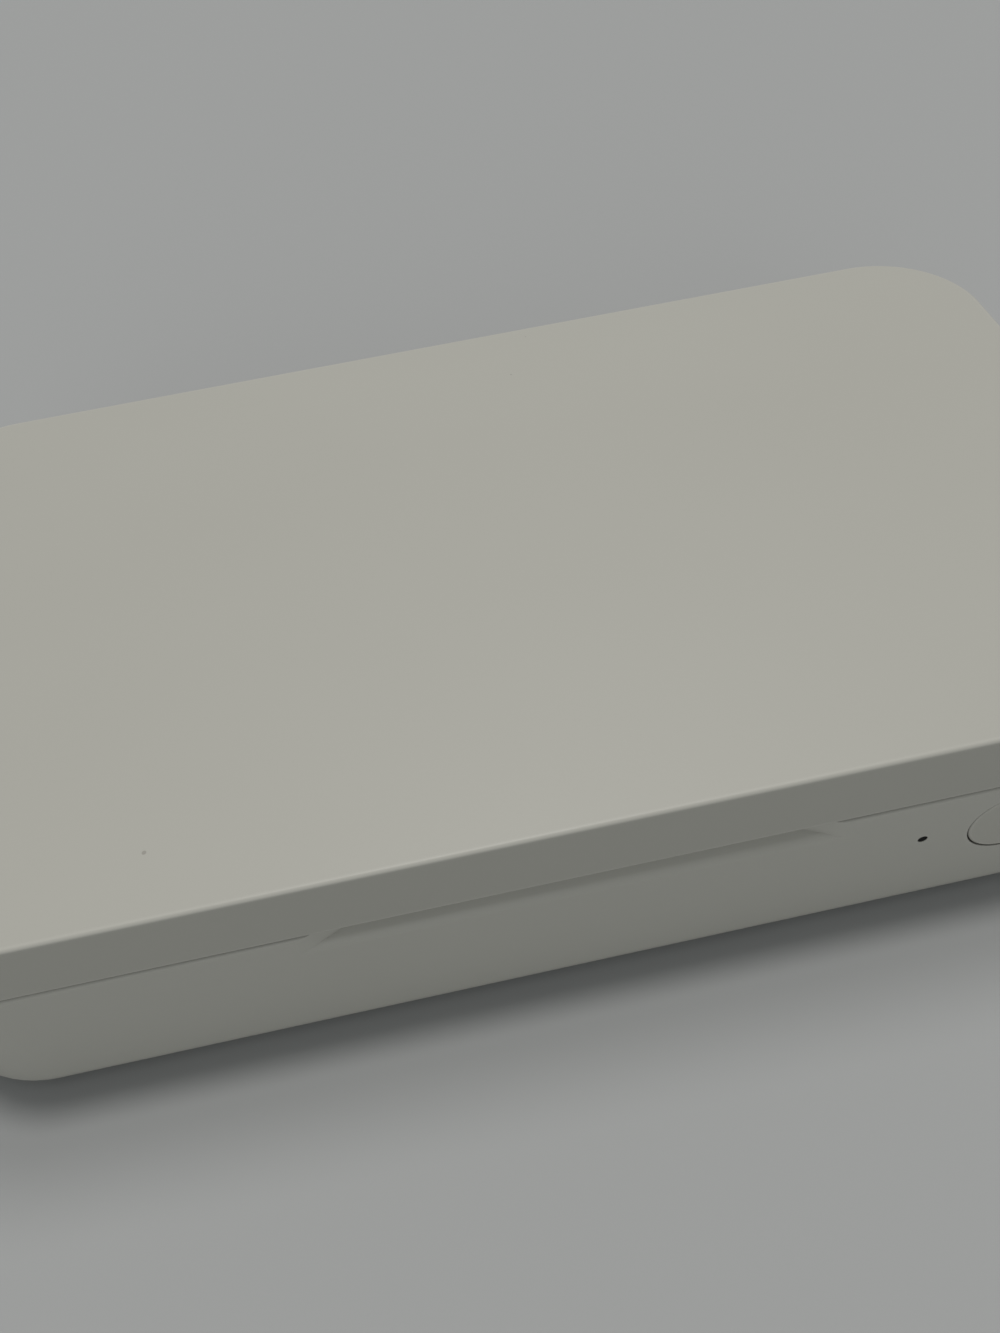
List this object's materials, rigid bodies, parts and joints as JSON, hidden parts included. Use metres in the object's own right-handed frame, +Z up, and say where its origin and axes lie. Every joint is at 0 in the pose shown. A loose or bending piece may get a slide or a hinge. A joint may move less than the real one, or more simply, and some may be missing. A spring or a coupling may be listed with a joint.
{
  "type": "uv sanitizer box",
  "caption": "Shallow rounded clamshell box that holds a phone under ultraviolet lamps, with a hinged lid, a round power button and a charging pad.",
  "frame": {"origin": "on the table under the middle of the closed box", "axes": "+X along the box to its right, -Y to the front with the button, +Z up"},
  "size_m": [0.228, 0.128, 0.049],
  "materials": {
    "case": "fine-textured warm off-white moulding",
    "button": "smooth off-white cap",
    "chamber": "bright silver-grey reflective lining",
    "reflector": "polished folded sheet",
    "uv_glass": "clear lamp tube",
    "nickel": "nickel electrodes",
    "soft_black": "soft black silicone",
    "soft_grey": "grey silicone",
    "guard": "light grey slotted guard",
    "copper": "enamelled copper coil",
    "ferrite": "dark ferrite composite",
    "board": "green circuit board",
    "black_parts": "black moulded electronic parts",
    "steel": "plain steel",
    "clear": "clear light pipe"
  },
  "bodies": {
    "base": {"base_shell": "case", "chamber_tray": "chamber", "charging_pad": "soft_grey", "charging_coil": "copper", "ferrite_plate": "ferrite", "main_board": "board", "inverter_board": "board", "usb_board": "board", "switch_board": "board", "board_components": "black_parts", "transformer_core": "ferrite", "transformer_windings": "copper", "usb_socket": "steel", "tact_switch": "black_parts", "status_led": "clear", "light_pipe": "clear", "base_magnets": "steel", "lid_sensor": "black_parts", "left_hinge_pin": "steel", "right_hinge_pin": "steel", "rim_seal": "soft_black", "feet": "soft_black", "case_screws": "steel", "board_screws": "steel", "front_reflector": "reflector", "front_uv_tube": "uv_glass", "front_electrodes": "nickel", "front_lamp_boots": "soft_black", "front_lamp_guard": "guard", "rear_reflector": "reflector", "rear_uv_tube": "uv_glass", "rear_electrodes": "nickel", "rear_lamp_boots": "soft_black", "rear_lamp_guard": "guard"},
    "lid": {"lid_shell": "case", "lid_liner": "chamber", "lid_reflector": "reflector", "lid_uv_tube": "uv_glass", "lid_electrodes": "nickel", "lid_lamp_boots": "soft_black", "lid_lamp_guard": "guard", "lid_magnets": "steel", "lid_screws": "steel"},
    "button": {"power_button": "button", "switch_plunger": "black_parts"}
  },
  "joints": [
    {"name": "lid_hinge", "type": "hinge", "parent": "base", "child": "lid", "pos_m": [0, 0.061, 0.0349], "axis": [-1, 0, 0], "range_deg": [0, 100]},
    {"name": "power_button_press", "type": "slide", "parent": "base", "child": "button", "axis": [0, 1, 0], "range_m": [0, 0.0006], "stiffness_N_per_m": 1500, "springref_m": -0.0003}
  ]
}
